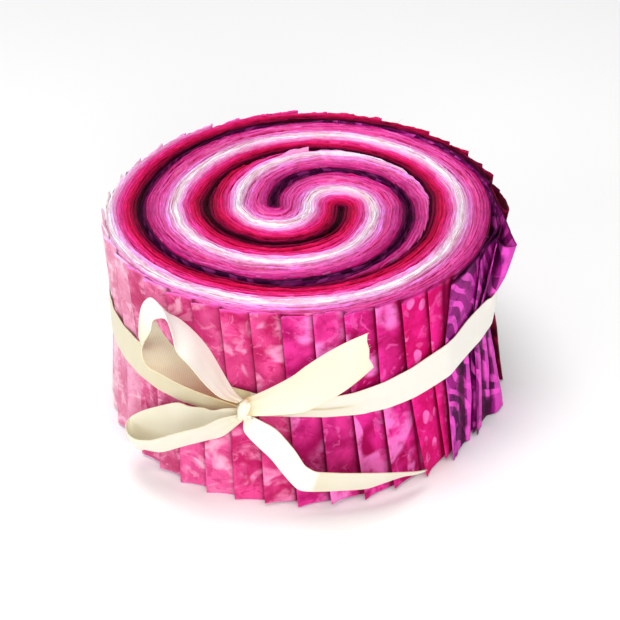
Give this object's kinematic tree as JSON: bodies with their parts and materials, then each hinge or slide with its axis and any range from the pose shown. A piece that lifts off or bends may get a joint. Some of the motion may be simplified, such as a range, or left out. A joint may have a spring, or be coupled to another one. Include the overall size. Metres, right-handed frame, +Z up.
{
  "type": "quilting fabric strip roll",
  "caption": "Roll of pre-cut batik fabric strips for quilting, wound in an S-centred spiral and tied with a satin ribbon bow.",
  "frame": {"origin": "on the roll's axis, on the flat face that it stands on", "axes": "+Z up along the roll's axis; -Y towards the side with the bow; +X towards the side with the loose ends"},
  "size_m": [0.1211, 0.1266, 0.0635],
  "materials": {
    "pink_batik": "matte printed cotton",
    "purple_batik": "matte printed cotton",
    "dark_red_batik": "matte printed cotton",
    "cream_satin": "satin ribbon"
  },
  "bodies": {
    "root": {"roll": "pink_batik", "purple_end_1": "purple_batik", "purple_end_2": "purple_batik", "purple_end_3": "purple_batik", "red_end": "dark_red_batik", "ribbon": "cream_satin"}
  },
  "joints": []
}
